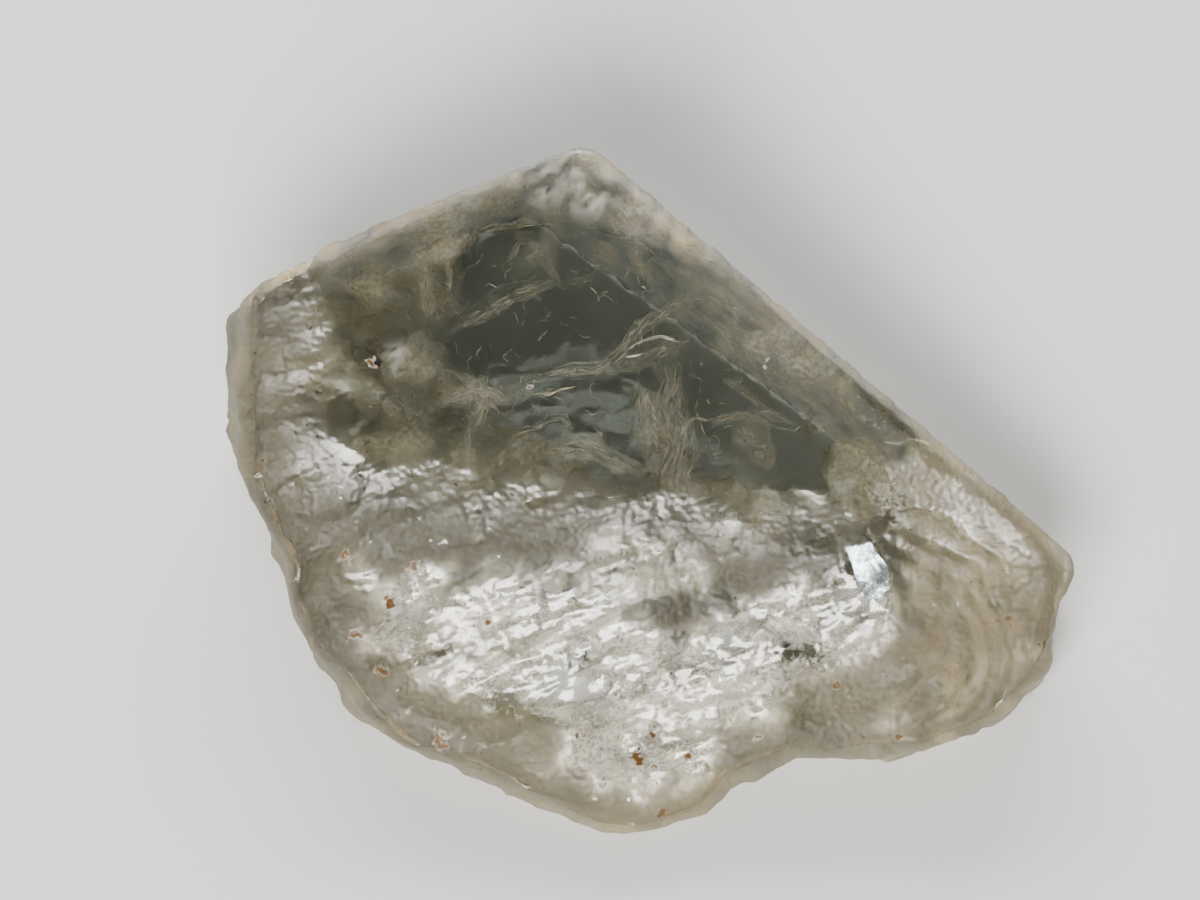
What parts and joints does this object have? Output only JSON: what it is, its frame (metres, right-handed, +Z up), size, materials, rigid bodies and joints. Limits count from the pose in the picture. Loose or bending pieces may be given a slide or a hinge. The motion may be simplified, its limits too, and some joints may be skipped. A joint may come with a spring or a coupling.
{
  "type": "goshenite specimen",
  "caption": "Loose broken wedge of clear colourless beryl: straight prism faces behind, a flat clear front, a scalloped thin edge. Lies on its flat back.",
  "frame": {"origin": "middle of the footprint, on the surface that the specimen lies on", "axes": "+X along the longest way across, to the right of the broad front face; +Y towards the thick edge with the two long prism faces; +Z up, out of the base"},
  "size_m": [0.0438, 0.0338, 0.0148],
  "materials": {
    "goshenite": "clear flat front with a glassy shine, frosted and striated prism faces, milky broken faces, a few rust specks"
  },
  "bodies": {
    "root": {"goshenite_crystal": "goshenite"}
  },
  "joints": []
}
